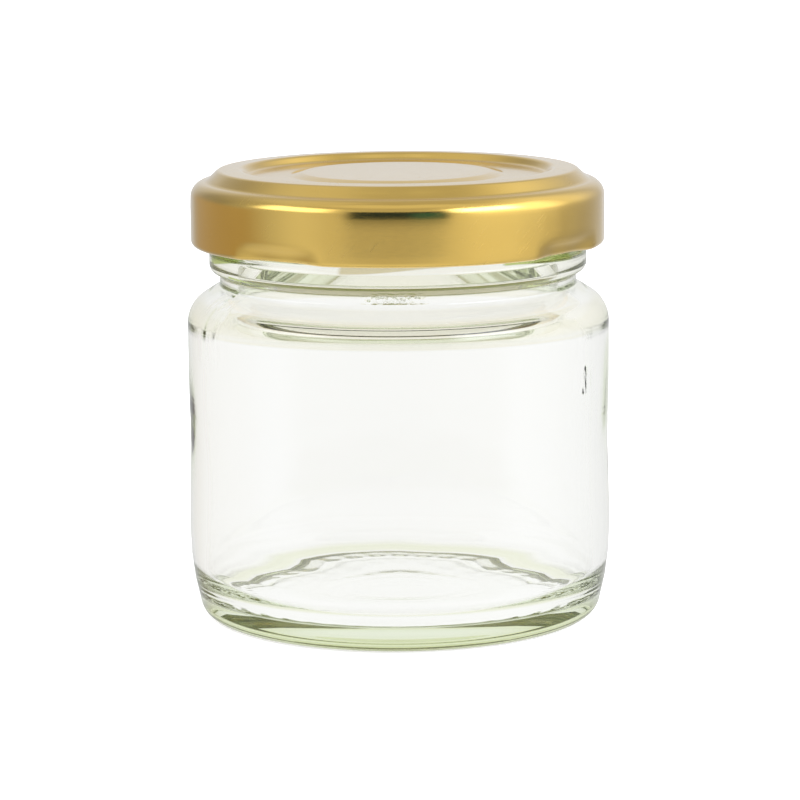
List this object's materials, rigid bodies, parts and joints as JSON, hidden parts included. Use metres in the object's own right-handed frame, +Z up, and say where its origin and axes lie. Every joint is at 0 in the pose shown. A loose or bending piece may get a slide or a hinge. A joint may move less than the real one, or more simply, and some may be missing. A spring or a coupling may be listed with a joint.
{
  "type": "small glass jar with twist-off lid",
  "caption": "Squat round clear glass jar with a sunk label panel, rounded shoulder and beaded neck, closed by a gold twist-off lid.",
  "frame": {"origin": "centre of the ring that the jar stands on", "axes": "+Z up along the jar's axis; -Y is the front; the lid's lug centres lie 35.3 degrees clockwise of +X, seen from above, and at each quarter turn from there"},
  "size_m": [0.0576, 0.0576, 0.0615],
  "materials": {
    "glass": "clear soda-lime glass, very slightly green in its thick parts",
    "lid_metal": "tinplate under satin gold lacquer",
    "sealing_compound": "cream sealing compound, smooth"
  },
  "bodies": {
    "root": {"jar": "glass", "lid": "lid_metal", "seal": "sealing_compound"}
  },
  "joints": []
}
